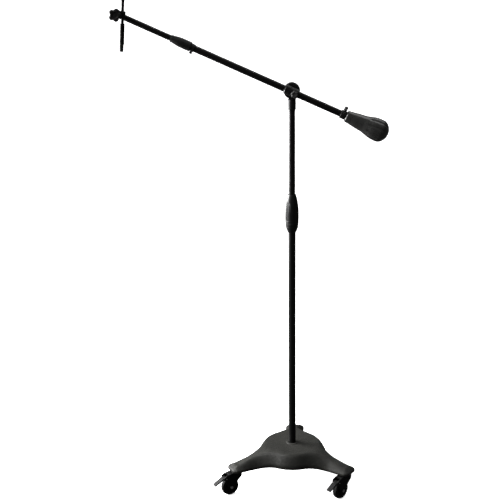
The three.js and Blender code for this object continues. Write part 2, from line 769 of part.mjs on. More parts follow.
boom.add(mesh('counterweight_screw', thumbScrew(
  OUTER_BOOM.outer + GAP,
  WEIGHT_COLLAR.radius + GAP,
  7,
  16,
).translate(WEIGHT_SCREW_X, BOOM_Y, 0), greyKnob));

// ----------------------------------------------------------------- mini boom

const TIP_BOLT_RADIUS = 4;
const tongueFront = BOOM_Y - TIP_TONGUE_HALF;
const tongueBack = BOOM_Y + TIP_TONGUE_HALF;
const plateBack = tongueFront - 0.5;
const jawBack = BOOM_Y - TIP_SHOULDER_RADIUS - 0.7;
const clampFront = jawBack - TIP_JAW_DEPTH;
const rodY = jawBack - TIP_JAW_DEPTH / 2;
const tipKnobBack = clampFront - GAP;
const TIP_KNOB = { radius: 25, lobeDepth: 5, lobes: 5, depth: 17, hubRadius: 10.5, hubDepth: 2.5 };
const tipBoltEnd = tipKnobBack - TIP_KNOB.depth + 3;

function tipBlock() {
  const inside = INNER_BOOM.inner - GAP;
  const shoulder = INNER_BOOM.front - GAP;
  const flatEnd = TIP_X + TIP_DISC_RADIUS + 2 * GAP;
  const spigot = onBoomAxis(turned([
    [0, TIP_X + 5],
    [10, TIP_X + 8],
    [TIP_SHOULDER_RADIUS, shoulder - 6],
    [TIP_SHOULDER_RADIUS, shoulder],
    [inside, shoulder],
    [inside, shoulder + 30],
    [0, shoulder + 30],
  ]));
  const tongue = alongY(cylinder(TIP_DISC_RADIUS, tongueFront, tongueBack)).translate(TIP_X, 0, 0);
  const hole = alongY(cylinder(TIP_BOLT_RADIUS + GAP, tongueFront - 10, tongueBack + 10, SMALL));
  const flats = [
    block([TIP_X - 30, tongueBack, -30], [flatEnd, tongueBack + 20, 30]),
    block([TIP_X - 30, tongueFront - 20, -30], [flatEnd, tongueFront, 30]),
  ];
  return cut(join(spigot, tongue), hole.translate(TIP_X, 0, 0), ...flats);
}

boom.add(mesh('tip_block', tipBlock(), blackPlastic));

// The rest of the tip hangs from the tip's pivot, a little off plumb.
const tip = new THREE.Group();
tip.position.set(TIP_X, 0, 0);
tip.rotation.y = MINI_BOOM_LEAN - BOOM_ELEVATION;
boom.add(tip);

const TIP_BOLT_HEAD = { radius: 8, height: 5.5 };
const boltHeadFoot = tongueBack + GAP;

tip.add(mesh('tip_bolt', alongY(join(
  cylinder(TIP_BOLT_HEAD.radius, boltHeadFoot, boltHeadFoot + TIP_BOLT_HEAD.height, HEXAGON),
  cylinder(TIP_BOLT_RADIUS, tipBoltEnd, tongueBack + 1, SMALL),
)), steel));

function tipClamp() {
  const plate = alongY(cylinder(TIP_DISC_RADIUS, clampFront, plateBack));
  const jaw = block(
    [0, clampFront, -TIP_CLAMP_HALF_HEIGHT],
    [ROD_OFFSET + 11, jawBack, TIP_CLAMP_HALF_HEIGHT],
  );
  const boltHole = alongY(cylinder(TIP_BOLT_RADIUS + GAP, clampFront - 1, plateBack + 1, SMALL));
  const rodHole = cylinder(ROD_RADIUS + GAP, -30, 30).translate(ROD_OFFSET, rodY, 0);
  return cut(join(plate, jaw), boltHole, rodHole);
}

tip.add(mesh('tip_clamp', tipClamp(), blackPlastic));

// The hub holds the lobed grip clear of the sleeve.
function tipKnob() {
  const { radius, lobeDepth, lobes, depth, hubRadius, hubDepth } = TIP_KNOB;
  const gripBack = tipKnobBack - hubDepth;
  const grip = slabY(lobedOutline(radius, lobeDepth, lobes), tipKnobBack - depth, gripBack);
  const hub = alongY(cylinder(hubRadius, gripBack - 1, tipKnobBack));
  const hole = alongY(cylinder(TIP_BOLT_RADIUS + GAP, tipBoltEnd - GAP, tipKnobBack + 1, SMALL));
  return cut(join(grip, hub), hole);
}

tip.add(mesh('tip_knob', tipKnob(), blackPlastic));

const onRodAxis = (geometry) => geometry.translate(ROD_OFFSET, rodY, 0);
const ROD_FOOT = SLEEVE_TOP - 35;
const STUD_SPIGOT = { radius: 5, top: SLEEVE_FOOT + 20 };

tip.add(mesh('mini_boom_rod', onRodAxis(cylinder(ROD_RADIUS, ROD_FOOT, ROD_TOP)), blackTube));

tip.add(mesh('mini_boom_cap', onRodAxis(turned([
  [0, ROD_TOP + GAP],
  [7.2, ROD_TOP + GAP],
  [7.2, ROD_TOP + 4],
  [5, ROD_TOP + 6],
  [0, ROD_TOP + 6],
], SMALL)), blackPlastic));

tip.add(mesh('mini_boom_sleeve', onRodAxis(cut(
  turned([
    [0, SLEEVE_FOOT],
    [SLEEVE_RADIUS, SLEEVE_FOOT],
    [SLEEVE_RADIUS, SLEEVE_TOP - 2],
    [SLEEVE_RADIUS - 1.5, SLEEVE_TOP],
    [0, SLEEVE_TOP],
  ]),
  cylinder(ROD_RADIUS + GAP, ROD_FOOT - GAP, SLEEVE_TOP + 1),
  cylinder(STUD_SPIGOT.radius + GAP, SLEEVE_FOOT - 1, STUD_SPIGOT.top + GAP, SMALL),
)), blackTube));

tip.add(mesh('mini_boom_stud', onRodAxis(turned([
  [0, STUD_FOOT],
  [6.8, STUD_FOOT],
  [THREAD_STUD_RADIUS, STUD_FOOT + 2],
  [THREAD_STUD_RADIUS, SLEEVE_FOOT - 3],
  [SLEEVE_RADIUS, SLEEVE_FOOT - 2.5],
  [SLEEVE_RADIUS, SLEEVE_FOOT - GAP],
  [STUD_SPIGOT.radius, SLEEVE_FOOT - GAP],
  [STUD_SPIGOT.radius, STUD_SPIGOT.top],
  [0, STUD_SPIGOT.top],
])), steel));

// ------------------------------------------------------------------ datum

// The origin is the middle of the whole stand's footprint, on the floor.
stand.updateMatrixWorld(true);
const extent = new THREE.Box3().setFromObject(stand, true);
const middle = extent.getCenter(new THREE.Vector3());
stand.position.set(-middle.x, -middle.y, -extent.min.z);
stand.updateMatrixWorld(true);

export default stand;
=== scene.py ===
import json
import math

import bmesh
import bpy
import numpy as np
from mathutils import Matrix, Vector


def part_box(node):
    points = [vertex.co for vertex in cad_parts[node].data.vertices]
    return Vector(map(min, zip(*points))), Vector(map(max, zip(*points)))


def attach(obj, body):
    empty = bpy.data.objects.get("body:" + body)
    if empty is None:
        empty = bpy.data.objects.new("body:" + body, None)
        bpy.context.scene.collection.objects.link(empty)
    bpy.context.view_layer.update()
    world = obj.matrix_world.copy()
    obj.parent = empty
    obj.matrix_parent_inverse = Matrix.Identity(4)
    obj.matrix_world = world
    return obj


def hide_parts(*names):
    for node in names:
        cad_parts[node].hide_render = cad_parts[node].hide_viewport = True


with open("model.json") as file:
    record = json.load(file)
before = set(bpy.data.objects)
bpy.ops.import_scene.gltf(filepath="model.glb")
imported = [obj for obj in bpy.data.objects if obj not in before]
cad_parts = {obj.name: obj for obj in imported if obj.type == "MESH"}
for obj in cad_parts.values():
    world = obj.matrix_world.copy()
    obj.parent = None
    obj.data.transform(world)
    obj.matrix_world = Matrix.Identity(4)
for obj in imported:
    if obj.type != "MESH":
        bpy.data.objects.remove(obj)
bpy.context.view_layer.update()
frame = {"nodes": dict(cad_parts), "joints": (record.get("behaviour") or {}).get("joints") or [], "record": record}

# Studio boom microphone stand. Shapes are drawn in millimetres in local places
# whose origins and axes come from the frame's joints, and stored in metres.

MM = 0.001
TAU = 2 * math.pi
CASTERS = ("back", "left", "right")
JOINTS = {joint["name"]: joint for joint in frame["joints"]}
SLOT_OF = {part["node"]: part["material_slot"] for part in frame["record"]["subparts"]}
BODY_OF = {
    node: body
    for body, nodes in frame["record"]["behaviour"]["bodies"].items()
    for node in nodes
}


# -------------------------------------------------------------------- places

def place(origin, x_axis, z_axis):
    """A millimetre frame at origin, with its local X and Z along the given axes."""
    x = Vector(x_axis).normalized()
    z = Vector(z_axis).normalized()
    turn = Matrix((x, z.cross(x), z)).transposed().to_4x4()
    turn.translation = Vector(origin)
    return turn @ Matrix.Scale(MM, 4)


def span(node, where):
    """Lowest and highest local coordinates of a CAD node, in millimetres."""
    inverse = where.inverted()
    points = np.array([inverse @ v.co for v in frame["nodes"][node].data.vertices])
    return points.min(0), points.max(0)


UP = (0, 0, 1)
RIGHT = (1, 0, 0)
pivot = Vector(JOINTS["boom_tilt"]["pos_m"])
mast_foot = Vector((pivot.x, pivot.y, 0))
tube_low, tube_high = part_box("boom_outer_tube")
boom_origin = Vector((pivot.x, (tube_low.y + tube_high.y) / 2, pivot.z))
tip_origin = Vector(JOINTS["tip_tilt"]["pos_m"])
rod_up = Vector(JOINTS["mini_boom_slide"]["axis"])
tip_right = Vector((0, 1, 0)).cross(rod_up)
boom_rear = Vector(JOINTS["boom_slide"]["axis"])
boom_up = Vector(JOINTS["counterweight_screw_turn"]["axis"])

MAST = place(mast_foot, RIGHT, UP)
HEAD_BACK = place(pivot, RIGHT, (0, 1, 0))
HEAD = place(pivot, RIGHT, UP)
BOOM = place(boom_origin, boom_rear, boom_up)
BOOM_AXIS = place(boom_origin, -boom_up, boom_rear)
TIP = place(tip_origin, tip_right, rod_up)
TIP_FRONT = place(tip_origin, tip_right, (0, -1, 0))
rod_low, rod_high = span("mini_boom_rod", TIP)
rod_x, rod_y = (rod_low[:2] + rod_high[:2]) / 2
ROD = TIP @ Matrix.Translation((rod_x, rod_y, 0))


def caster_place(name):
    """Origin on the floor under the stem, X towards the trailing wheel, Y along the axle."""
    stem = Vector(JOINTS[f"caster_swivel_{name}"]["pos_m"])
    axle = Vector(JOINTS[f"wheel_spin_{name}"]["axis"])
    return place((stem.x, stem.y, 0), axle.cross(Vector(UP)), UP)


# ----------------------------------------------------------------- materials

def add_node(tree, kind, **settings):
    node = tree.nodes.new(kind)
    for key, value in settings.items():
        if key in node.inputs:
            node.inputs[key].default_value = value
        else:
            setattr(node, key, value)
    return node


def noise(tree, scale, detail=4.0, roughness=0.55):
    """Noise in the piece's own coordinates, scale in grains to the metre."""
    where = add_node(tree, "ShaderNodeTexCoord")
    grain = add_node(tree, "ShaderNodeTexNoise", Scale=scale, Detail=detail, Roughness=roughness)
    tree.links.new(where.outputs["Object"], grain.inputs["Vector"])
    return grain.outputs["Fac"]


def remap(tree, value, low, high, to_low, to_high):
    node = tree.nodes.new("ShaderNodeMapRange")
    node.inputs["From Min"].default_value = low
    node.inputs["From Max"].default_value = high
    node.inputs["To Min"].default_value = to_low
    node.inputs["To Max"].default_value = to_high
    tree.links.new(value, node.inputs["Value"])
    return node.outputs["Result"]


def blend_colours(tree, amount, first, second):
    node = tree.nodes.new("ShaderNodeMix")
    node.data_type = "RGBA"
    tree.links.new(amount, node.inputs[0])
    for socket, colour in ((node.inputs[6], first), (node.inputs[7], second)):
        if isinstance(colour, tuple):
            socket.default_value = (*colour, 1)
        else:
            tree.links.new(colour, socket)
    return node.outputs[2]


CLOUD_SHADE = 0.72


def surface(name, colour, worn, rough, grain, relief, metallic=0.0, edge=0.0, shine=0.3,
            fine=None):
    """A material with cloudy colour, worn edges, uneven gloss and a fine relief.

    colour and worn are the base and the rubbed colour, rough the lowest and highest
    roughness, grain the relief's grains to the metre and relief its height in metres.
    edge is the share of rubbed colour on edges, shine the specular level, and fine adds
    dimples, so many to the metre.
    """
    material = bpy.data.materials.new(name)
    material.use_nodes = True
    tree = material.node_tree
    shader = tree.nodes["Principled BSDF"]
    shader.inputs["Metallic"].default_value = metallic
    shader.inputs["Specular IOR Level"].default_value = shine
    clouds = noise(tree, scale=22, detail=5, roughness=0.6)
    dark = tuple(c * CLOUD_SHADE for c in colour)
    tint = blend_colours(tree, remap(tree, clouds, 0.35, 0.68, 0, 1), dark, colour)
    if edge:
        shape = add_node(tree, "ShaderNodeNewGeometry")
        rub = remap(tree, shape.outputs["Pointiness"], 0.52, 0.6, 0, edge)
        patchy = add_node(tree, "ShaderNodeMath", operation="MULTIPLY")
        tree.links.new(rub, patchy.inputs[0])
        patches = noise(tree, scale=130)
        tree.links.new(remap(tree, patches, 0.4, 0.6, 0.2, 1), patchy.inputs[1])
        tint = blend_colours(tree, patchy.outputs[0], tint, worn)
    tree.links.new(tint, shader.inputs["Base Color"])
    gloss = noise(tree, scale=60, detail=6, roughness=0.65)
    tree.links.new(remap(tree, gloss, 0.3, 0.7, *rough), shader.inputs["Roughness"])
    bump = add_node(tree, "ShaderNodeBump", Strength=1.0, Distance=relief)
    height = noise(tree, scale=grain, detail=3, roughness=0.6)
    if fine:
        cells = add_node(tree, "ShaderNodeTexVoronoi", Scale=fine)
        where = add_node(tree, "ShaderNodeTexCoord")
        tree.links.new(where.outputs["Object"], cells.inputs["Vector"])
        both = add_node(tree, "ShaderNodeMath", operation="ADD")
        tree.links.new(height, both.inputs[0])
        tree.links.new(cells.outputs["Distance"], both.inputs[1])
        height = both.outputs[0]
    tree.links.new(height, bump.inputs["Height"])
    tree.links.new(bump.outputs["Normal"], shader.inputs["Normal"])
    return material


def grey(level):
    return (level, level, level)


WORN_PAINT = (0.11, 0.11, 0.105)
LOOKS = {
    "base_paint": dict(
        colour=(0.022, 0.022, 0.0197), worn=WORN_PAINT, rough=(0.42, 0.58), grain=520,
        relief=0.0006, edge=0.35, fine=420, shine=0.15,
    ),
    "weight_paint": dict(
        colour=(0.03, 0.03, 0.029), worn=WORN_PAINT, rough=(0.24, 0.34), grain=420,
        relief=0.00025, edge=0.3, shine=0.6,
    ),
    "tube_paint": dict(
        colour=grey(0.0035), worn=WORN_PAINT, rough=(0.3, 0.42), grain=900,
        relief=0.00008, edge=0.15, shine=0.2,
    ),
    "head_paint": dict(
        colour=grey(0.005), worn=WORN_PAINT, rough=(0.38, 0.52), grain=700,
        relief=0.0002, edge=0.3,
    ),
    "clutch_rubber": dict(
        colour=grey(0.0055), worn=grey(0.05), rough=(0.33, 0.48), grain=1500,
        relief=0.00012,
    ),
    "black_plastic": dict(
        colour=grey(0.004), worn=grey(0.04), rough=(0.42, 0.56), grain=1300,
        relief=0.00008, edge=0.2,
    ),
    "grey_plastic": dict(
        colour=grey(0.04), worn=grey(0.12), rough=(0.4, 0.55), grain=1300,
        relief=0.00008, edge=0.2,
    ),
    "caster_plastic": dict(
        colour=grey(0.0035), worn=grey(0.04), rough=(0.42, 0.6), grain=1200,
        relief=0.0001, edge=0.25, shine=0.15,
    ),
    "tyre": dict(
        colour=grey(0.006), worn=(0.06, 0.06, 0.055), rough=(0.65, 0.85), grain=900,
        relief=0.00025, edge=0.4,
    ),
    "steel": dict(
        colour=(0.42, 0.42, 0.43), worn=grey(0.6), rough=(0.28, 0.42), grain=900,
        relief=0.00005, metallic=1.0, edge=0.2,
    ),
    "thread_steel": dict(
        colour=(0.025, 0.025, 0.026), worn=grey(0.2), rough=(0.35, 0.5), grain=1500,
        relief=0.00003, metallic=0.6, edge=0.35,
    ),
}
MATERIALS = {name: surface(name, **look) for name, look in LOOKS.items()}


# ------------------------------------------------------------------- shaping

def mesh_from(vertices, faces):
    """A bmesh of the given corners and faces, with its normals pointing out."""
    bm = bmesh.new()
    corners = [bm.verts.new(v) for v in vertices]
    for face in faces:
        bm.faces.new([corners[i] for i in face])
    bmesh.ops.recalc_face_normals(bm, faces=bm.faces)
    return bm


def soften(profile, radius, closed=False, steps=4):
    """Rounds the corners of a profile of (radius, height) pairs by arcs."""
    points = [Vector(p) for p in profile]
    count = len(points)
    made = []
    for i, corner in enumerate(points):
        ends = not closed and i in (0, count - 1)
        before, after = points[i - 1], points[(i + 1) % count]
        back, ahead = before - corner, after - corner
        if ends or back.length < 1e-6 or ahead.length < 1e-6:
            made.append(corner)
            continue
        angle = back.angle(ahead)
        reach = min(radius / math.tan(angle / 2), 0.45 * back.length, 0.45 * ahead.length)
        if reach < 0.02 or angle > math.radians(176):
            made.append(corner)
            continue
        start = corner + back.normalized() * reach
        end = corner + ahead.normalized() * reach
        for k in range(steps + 1):
            t = k / steps
            made.append((1 - t) ** 2 * start + 2 * t * (1 - t) * corner + t ** 2 * end)
    return [(max(p.x, 0.0), p.y) for p in made]


def turned(profile, segments=72, closed=False, shape=None):
    """A profile of (radius, height) pairs turned about Z. shape(radius, angle, height)
    may give another radius for flutes, ribs and lobes."""
    vertices, rings = [], []
    for radius, height in profile:
        if radius < 1e-6:
            rings.append([len(vertices)] * segments)
            vertices.append((0, 0, height))
            continue
        ring = []
        for k in range(segments):
            angle = TAU * k / segments
            reach = shape(radius, angle, height) if shape else radius
            ring.append(len(vertices))
            vertices.append((reach * math.cos(angle), reach * math.sin(angle), height))
        rings.append(ring)
    faces = []
    pairs = list(zip(rings, rings[1:] + rings[:1])) if closed else list(zip(rings, rings[1:]))
    for low, high in pairs:
        for k in range(segments):
            n = (k + 1) % segments
            corners = dict.fromkeys([low[k], low[n], high[n], high[k]])
            if len(corners) > 2:
                faces.append(tuple(corners))
    return mesh_from(vertices, faces)


def tube(outer, inner, low, high, chamfer=0.4, segments=72):
    profile = [(inner, low), (outer, low), (outer, high), (inner, high)]
    return turned(soften(profile, chamfer, closed=True), segments, closed=True)


def bar(radius, low, high, rounding=0.8, segments=64):
    profile = [(0, low), (radius, low), (radius, high), (0, high)]
    return turned(soften(profile, rounding), segments)


def drill(radius, low, high, segments=32):
    """A sharp bar, for cutting a hole."""
    return bar(radius, low, high, 0.1, segments)


def arc(x, y, radius, start, end, steps=12):
    """Points of an arc, angles in radians."""
    return [
        (x + radius * math.cos(start + (end - start) * k / steps),
         y + radius * math.sin(start + (end - start) * k / steps))
        for k in range(steps + 1)
    ]


def curve(start, control, end, steps=8):
    """Points of a quadratic curve."""
    a, b, c = Vector(start), Vector(control), Vector(end)
    return [tuple((1 - t) ** 2 * a + 2 * t * (1 - t) * b + t * t * c)
            for t in (k / steps for k in range(steps + 1))]


def tidy_outline(points):
    kept = []
    for point in points:
        if not kept or (Vector(point) - Vector(kept[-1])).length > 0.05:
            kept.append(point)
    if (Vector(kept[0]) - Vector(kept[-1])).length < 0.05:
        kept.pop()
    return kept


def slab(outline, low, high, bevel=0.8, steps=3):
    """An outline in local X and Y, thickened along Z, with rounded rims."""
    points = np.array(tidy_outline(outline))
    after, before = np.roll(points, -1, 0), np.roll(points, 1, 0)
    along = after - before
    inward = np.stack([-along[:, 1], along[:, 0]], 1)
    inward /= np.linalg.norm(inward, axis=1)[:, None]
    area = np.sum(points[:, 0] * after[:, 1] - after[:, 0] * points[:, 1])
    inward *= math.copysign(1, area)
    rings = []
    for k in range(steps + 1):
        turn = (math.pi / 2) * k / steps
        rings.append((bevel * (1 - math.sin(turn)), low + bevel * (1 - math.cos(turn))))
    rings += [(inset, high - (height - low)) for inset, height in reversed(rings)]
    vertices, faces, count = [], [], len(points)
    for inset, height in rings:
        vertices += [(x, y, height) for x, y in points + inward * inset]
    for ring in range(len(rings) - 1):
        a, b = ring * count, (ring + 1) * count
        for k in range(count):
            n = (k + 1) % count
            faces.append((a + k, a + n, b + n, b + k))
    faces.append(tuple(range(count)))
    faces.append(tuple(range(len(vertices) - count, len(vertices))))
    bm = mesh_from(vertices, faces)
    flat = [f for f in bm.faces if len(f.verts) > 4]
    bmesh.ops.triangulate(bm, faces=flat)
    return bm


def block(low, high, rounding=0.8):
    x0, y0, z0 = low
    x1, y1, z1 = high
    corners = [
        *arc(x1 - rounding, y0 + rounding, rounding, -math.pi / 2, 0, 4),
        *arc(x1 - rounding, y1 - rounding, rounding, 0, math.pi / 2, 4),
        *arc(x0 + rounding, y1 - rounding, rounding, math.pi / 2, math.pi, 4),
        *arc(x0 + rounding, y0 + rounding, rounding, math.pi, 1.5 * math.pi, 4),
    ]
    return slab(corners, z0, z1, rounding)


def moved(bm, x=0.0, y=0.0, z=0.0, turn=None):
    """The mesh turned by a matrix, then shifted."""
    if turn is not None:
        bm.transform(turn.to_4x4())
    bm.transform(Matrix.Translation((x, y, z)))
    return bm


TO_X = Matrix.Rotation(math.pi / 2, 3, "Y")
TO_Y = Matrix.Rotation(-math.pi / 2, 3, "X")
TO_FRONT = Matrix.Rotation(math.pi / 2, 3, "X")


def as_object(bm, name):
    bmesh.ops.remove_doubles(bm, verts=bm.verts, dist=1e-5)
    data = bpy.data.meshes.new(name)
    bm.to_mesh(data)
    bm.free()
    thing = bpy.data.objects.new(name, data)
    bpy.context.scene.collection.objects.link(thing)
    return thing


def baked(thing):
    """The object's mesh with its modifiers applied."""
    graph = bpy.context.evaluated_depsgraph_get()
    data = bpy.data.meshes.new_from_object(thing.evaluated_get(graph))
    old = thing.data
    thing.modifiers.clear()
    thing.data = data
    bpy.data.meshes.remove(old)
    return thing


def carve(name, body, adds=(), cuts=()):
    """A mesh with others joined to it and cut out of it."""
    whole = as_object(body, name)
    for operation, tools in (("UNION", adds), ("DIFFERENCE", cuts)):
        for tool in tools:
            other = as_object(tool, "tool")
            step = whole.modifiers.new("step", "BOOLEAN")
            step.operation = operation
            step.solver = "EXACT"
            step.object = other
            baked(whole)
            bpy.data.objects.remove(other)
    return whole


def cast(thing, grain=0.55, rounds=4):
    """Melts a carved piece into one casting with small fillets on every edge."""
    remesh = thing.modifiers.new("remesh", "REMESH")
    remesh.mode = "VOXEL"
    remesh.voxel_size = grain
    relax = thing.modifiers.new("relax", "SMOOTH")
    relax.factor = 0.5
    relax.iterations = rounds
    return baked(thing)


def finish_piece(thing, where, node, others=(), smooth=True):
    """Moves a piece from its local place into the row frame and hands it to its body."""
    thing.data.transform(where)
    thing.name = f"{node}_skin"
    thing.data.name = thing.name
    for polygon in thing.data.polygons:
        polygon.use_smooth = smooth
    thing.data.materials.clear()
    thing.data.materials.append(MATERIALS[SLOT_OF[node]])
    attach(thing, BODY_OF[node])
    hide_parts(node, *others)
    return thing


def skin(bm, where, node, sharp=35):
    """A finished piece from a mesh, smooth but for edges sharper than the angle."""
    for edge in bm.edges:
        if len(edge.link_faces) == 2 and edge.calc_face_angle(0) > math.radians(sharp):
            edge.smooth = False
    return finish_piece(as_object(bm, node), where, node)


# ---------------------------------------------------------------------- base

DISC_RADIUS = 140
LEG_HALF_WIDTH = 39.5
LEG_FILLET = 120
LEG_CORNER = 22
SLOPE_START = 120
UNDERSIDE_SLOPE_END = 185
SLOPE_BLEND = 14
CROWN_WIDTH = 32
CROWN_DROP = 36
RIM_HEIGHT = 10
EDGE_ROUND = 3
CORE_RADIUS = 60
UNDERSIDE_DROP = 56
LEG_DROP = 43
SEAT_DROP = 19
RECESS_DROP = 28
RECESS_RADIUS = 24
BOLT_BORE = 6.4
LEG_DEGREES = (90, 210, 330)
TOP_RINGS = 64


def base_outline(leg_length):
    """Plan of the casting: a disc with three legs, blended in by concave fillets."""
    across = LEG_HALF_WIDTH + LEG_FILLET
    along = math.sqrt((DISC_RADIUS + LEG_FILLET) ** 2 - across ** 2)
    blend = math.atan2(across, along)
    half = math.pi / 2
    corner, side = leg_length - LEG_CORNER, LEG_HALF_WIDTH - LEG_CORNER
    points = []
    for degrees in LEG_DEGREES:
        leg = math.radians(degrees)

        def at(x, y):
            return (x * math.cos(leg) - y * math.sin(leg), x * math.sin(leg) + y * math.cos(leg))

        def straight(x0, x1, y):
            return [at(x0 + (x1 - x0) * k / 10, y) for k in range(11)]

        points += arc(0, 0, DISC_RADIUS, leg - TAU / 3 + blend, leg - blend, steps=24)
        points += arc(*at(along, -across), LEG_FILLET, leg + math.pi - blend, leg + half, steps=22)
        points += straight(along, corner, -LEG_HALF_WIDTH)
        points += arc(*at(corner, -side), LEG_CORNER, leg - half, leg, 12)
        points += arc(*at(corner, side), LEG_CORNER, leg, leg + half, 12)
        points += straight(corner, along, LEG_HALF_WIDTH)
        points += arc(*at(along, across), LEG_FILLET, leg - half, leg - math.pi + blend, steps=22)
    return np.array(tidy_outline(points))


def distances(points, outline):
    """How far inside the outline each point lies."""
    nearest = np.full(len(points), 1e9)
    for a, b in zip(outline, np.roll(outline, -1, 0)):
        edge = b - a
        share = np.clip(((points - a) @ edge) / (edge @ edge), 0, 1)
        gap = np.linalg.norm(points - a - share[:, None] * edge, axis=1)
        nearest = np.minimum(nearest, gap)
    return nearest


def slope(radius, level, low, start, end):
    """A level that slopes down from start to end, blended in at both."""
    near = [np.clip((radius + shift - start) / (end - start), 0, 1)
            for shift in np.linspace(-SLOPE_BLEND, SLOPE_BLEND, 9)]
    return level + (low - level) * np.mean(near, axis=0)


def rounding(inside, radius):
    """Height lost at a rim corner of that radius."""
    near = np.clip(radius - inside, 0, radius)
    return radius - np.sqrt(radius ** 2 - near ** 2)


def make_base():
    low, high = span("base_casting", MAST)
    leg_length = high[1]
    top, leg_foot = high[2], low[2]
    underside = top - UNDERSIDE_DROP
    leg_top = top - LEG_DROP
    seat = top - SEAT_DROP
    recess = top - RECESS_DROP
    outline = base_outline(leg_length)
    rays = outline / np.linalg.norm(outline, axis=1)[:, None]
    reach = np.linalg.norm(outline, axis=1)
    tube_radius = span("lower_tube", MAST)[1][0] + 0.25

    def ring_at(share):
        return rays * (CORE_RADIUS + (reach - CORE_RADIUS) * share)[:, None]

    def foot_level(points):
        radius = np.linalg.norm(points, axis=1)
        return slope(radius, underside, leg_foot, SLOPE_START, UNDERSIDE_SLOPE_END)

    def foot_height(points):
        return foot_level(points) + rounding(distances(points, outline), EDGE_ROUND)

    def top_height(points):
        inside = distances(points, outline)
        radius = np.linalg.norm(points, axis=1)
        level = slope(radius, top, leg_top, SLOPE_START, leg_length - LEG_CORNER)
        edge = np.maximum(level - CROWN_DROP, foot_level(points) + RIM_HEIGHT)
        share = 1 - np.sin(np.minimum(inside / CROWN_WIDTH, 1) * math.pi / 2)
        return level - (level - edge) * share - rounding(inside, EDGE_ROUND)

    boss = [
        (tube_radius, seat), (tube_radius, top + 1.2), (tube_radius + 0.8, top + 2),
        (23, top + 2), (24.2, top + 1.4), (25, top + 0.2), (27, top), (40, top),
    ]
    bolt = [
        (BOLT_BORE, seat), (BOLT_BORE, recess), (RECESS_RADIUS, recess),
        (RECESS_RADIUS, underside + 0.8), (RECESS_RADIUS + 0.8, underside),
    ]
    rings = []
    for radius, height in boss:
        rings.append((rays * radius, np.full(len(rays), height)))
    shares = [1 - (1 - k / TOP_RINGS) ** 2 for k in range(TOP_RINGS + 1)]
    for share in shares:
        points = ring_at(share)
        rings.append((points, top_height(points)))
    for share in reversed(shares[::2]):
        points = ring_at(share)
        rings.append((points, foot_height(points)))
    for radius, height in reversed(bolt):
        rings.append((rays * radius, np.full(len(rays), height)))
    vertices, faces, count = [], [], len(rays)
    for points, heights in rings:
        vertices += [(x, y, z) for (x, y), z in zip(points, heights)]
    for ring in range(len(rings)):
        a, b = ring * count, ((ring + 1) % len(rings)) * count
        for k in range(count):
            n = (k + 1) % count
            faces.append((a + k, a + n, b + n, b + k))
    skin(mesh_from(vertices, faces), MAST, "base_casting", sharp=50)


make_base()


# ------------------------------------------------------------------- casters

# Side view: the stem stands on the origin and the wheel trails to the right.
FORK_TOP = 98.6
FLANGE_GAP = 0.1
PLATE_FOOT = 87
FORK_HALF = 16.5
SLOT_HALF = 12
KING_PIN_BORE = 5.3
WHEEL_TRAIL, AXLE_Z = 32, 37.5
AXLE_RADIUS = 4
HUB_RADIUS = 26.9
HUB_HALF = 10.5
SPOKES = 6
TYRE_BORE = 27.2
TYRE_HALF = 11
PEDAL_X, PEDAL_Z = 54, 79
PEDAL_HALF = 11.2
PEDAL_PIN_BORE = 2.7
TREAD = (PEDAL_X + 16, PEDAL_Z - 0.2)
TREAD_TIP = (103.7, 59)
TREAD_GROOVES = 5


def caster_fork(shift):
    """The horn of the fork, slotted for the wheel and the pedal."""
    outline = [
        (-17, FORK_TOP), (17, FORK_TOP), *curve((17, FORK_TOP), (46, 97), (61, PLATE_FOOT)),
        *curve((61, PLATE_FOOT), (66, 78), (60, 71), 5), *curve((60, 71), (53, 54), (44, 33)),
        *curve((44, 33), (WHEEL_TRAIL, 18), (20, 33)), *curve((20, 33), (5, 60), (-15, 76)),
        *curve((-15, 76), (-19, 84), (-17, FORK_TOP), 4),
    ]
    body = moved(slab(outline, -FORK_HALF, FORK_HALF, 2.2, 4), turn=TO_FRONT)
    fork = carve("fork", body, cuts=[
        block((-34, -SLOT_HALF, 0), (46, SLOT_HALF, PLATE_FOOT), 1.5),
        block((42, -SLOT_HALF, 0), (90, SLOT_HALF, FORK_TOP + 11.4), 1.5),
        tube(24, 15.5, FORK_TOP - 1.4, FORK_TOP + 3.4, chamfer=0.3, segments=48),
        drill(KING_PIN_BORE, 80, 110),
        moved(drill(AXLE_RADIUS + 0.2, -30, 30), WHEEL_TRAIL, 0, AXLE_Z, TO_Y),
        moved(drill(PEDAL_PIN_BORE, -30, 30, 24), PEDAL_X, 0, PEDAL_Z, TO_Y),
    ])
    fork.data.transform(Matrix.Translation((0, 0, shift)))
    return cast(fork, 0.5, 3)


def caster_hub():
    """Boss and rim, joined by a thin web and by spokes."""
    face = HUB_HALF
    web, rim, flank = face - 4, HUB_RADIUS - 2.9, face - 0.8
    half_profile = [(4.3, face), (8.5, face), (9.5, face - 1), (10.5, web), (rim - 1, web),
                    (rim, flank), (HUB_RADIUS, flank)]
    profile = [(radius, -z) for radius, z in half_profile] + half_profile[::-1]
    rounded = soften(profile, 0.6, closed=True, steps=3)
    hub = carve("hub", turned(rounded, 60, closed=True), adds=[
        moved(block((9, -1.1, 1 - face), (rim + 0.5, 1.1, face - 1), 0.3),
              turn=Matrix.Rotation(TAU * k / SPOKES, 3, "Z"))
        for k in range(SPOKES)
    ])
    hub.data.transform(TO_Y.to_4x4())
    return hub


